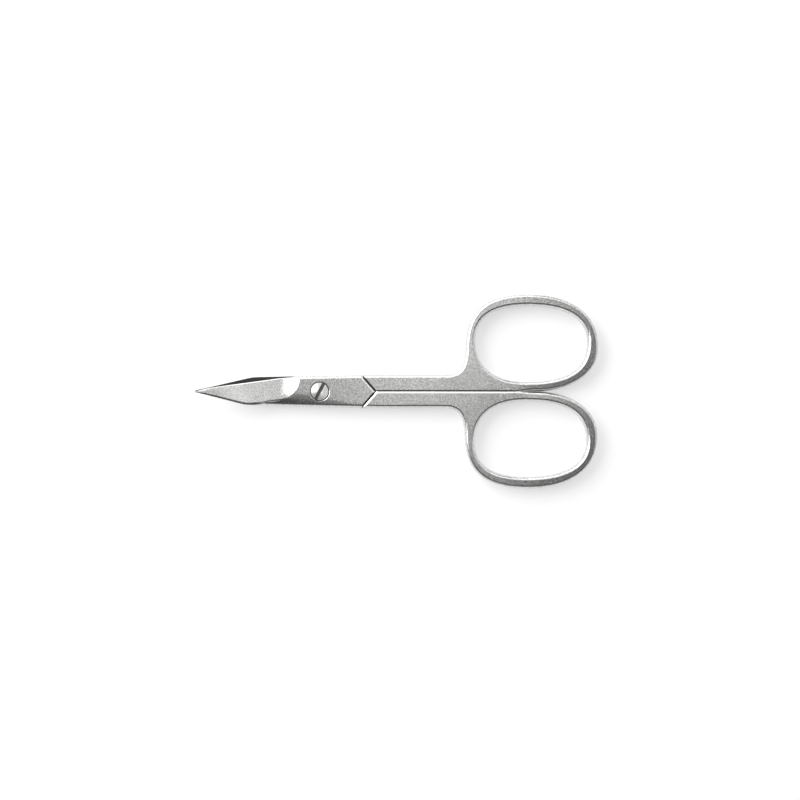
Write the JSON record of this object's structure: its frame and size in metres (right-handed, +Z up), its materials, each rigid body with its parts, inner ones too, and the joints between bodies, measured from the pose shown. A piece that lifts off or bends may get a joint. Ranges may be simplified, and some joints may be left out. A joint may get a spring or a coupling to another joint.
{
  "type": "curved nail scissors",
  "caption": "Small manicure scissors with short pointed blades that curve upwards, a slotted pivot screw and oval finger loops.",
  "frame": {"origin": "under the middle of the closed scissors' bounding box, on the surface that they lie on", "axes": "+X along the closed scissors from the tips to the finger loops, +Y towards the front half's finger loop, +Z up, out of the face with the screw's slot"},
  "size_m": [0.0898, 0.0436, 0.0071],
  "materials": {
    "satin_steel": "satin, finely blasted stainless steel; the blades' grinds are brighter",
    "polished_steel": "polished stainless steel"
  },
  "bodies": {
    "rear": {"rear_half": "satin_steel", "pivot_screw": "polished_steel"},
    "front": {"front_half": "satin_steel"}
  },
  "joints": [
    {"name": "scissor_hinge", "type": "hinge", "parent": "rear", "child": "front", "pos_m": [-0.0176, 0, 0.0017], "axis": [0, 0, 1], "range_deg": [0, 60]}
  ]
}
